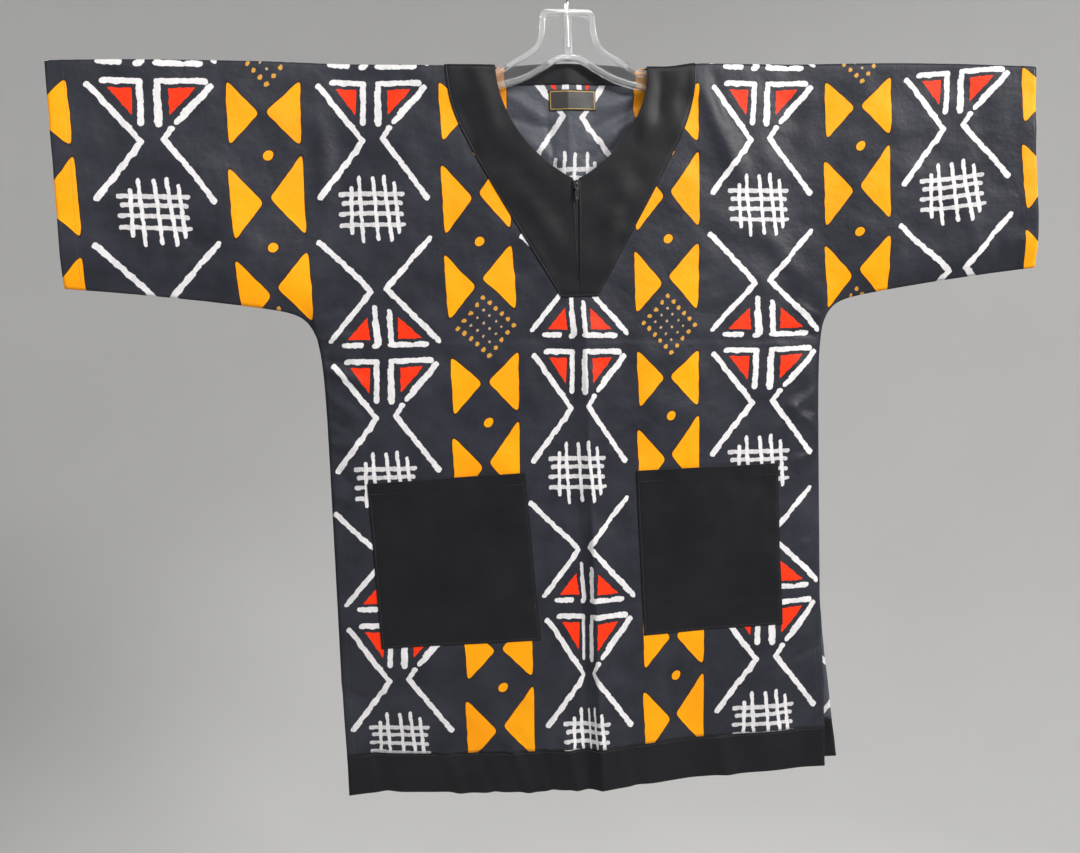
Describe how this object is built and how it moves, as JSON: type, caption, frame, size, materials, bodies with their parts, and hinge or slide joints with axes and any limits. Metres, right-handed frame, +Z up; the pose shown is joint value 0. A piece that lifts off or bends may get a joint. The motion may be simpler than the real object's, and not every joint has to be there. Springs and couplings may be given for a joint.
{
  "type": "dashiki shirt on a hanger",
  "caption": "T-shaped printed cotton dashiki with a plain V yoke, short neck zip, patch pockets, hem band and side vents, hanging on a clear plastic hanger.",
  "frame": {"origin": "inside of the hook's crown, where a rail carries the hanger", "axes": "+Z up, +X across the shirt towards the viewer's right, -Y out of the front of the shirt"},
  "size_m": [1.0634, 0.0986, 0.9702],
  "materials": {
    "printed_cotton": "matt plain weave printed in white, gold and red on charcoal",
    "black_cotton": "matt plain weave",
    "zip_tape": "matt woven tape",
    "woven_label": "fine satin weave",
    "zip_metal": "black lacquer",
    "clear_plastic": "clear moulded, glossy",
    "plated_wire": "bright plated"
  },
  "bodies": {
    "shirt": {"front_panel": "printed_cotton", "back_panel": "printed_cotton", "yoke_left": "black_cotton", "yoke_right": "black_cotton", "neck_facing": "black_cotton", "neck_label": "woven_label", "pocket_left": "black_cotton", "pocket_right": "black_cotton", "hem_band_front": "black_cotton", "hem_band_back": "black_cotton", "zip_tape": "zip_tape", "zip_slider": "zip_metal", "hanger_body": "clear_plastic", "hanger_hook": "plated_wire"},
    "pull": {"zip_pull": "zip_metal"}
  },
  "joints": [
    {"name": "zip_pull_hinge", "type": "hinge", "parent": "shirt", "child": "pull", "pos_m": [0.003, -0.0141, -0.2505], "axis": [-1, 0, 0], "range_deg": [0, 170]}
  ]
}
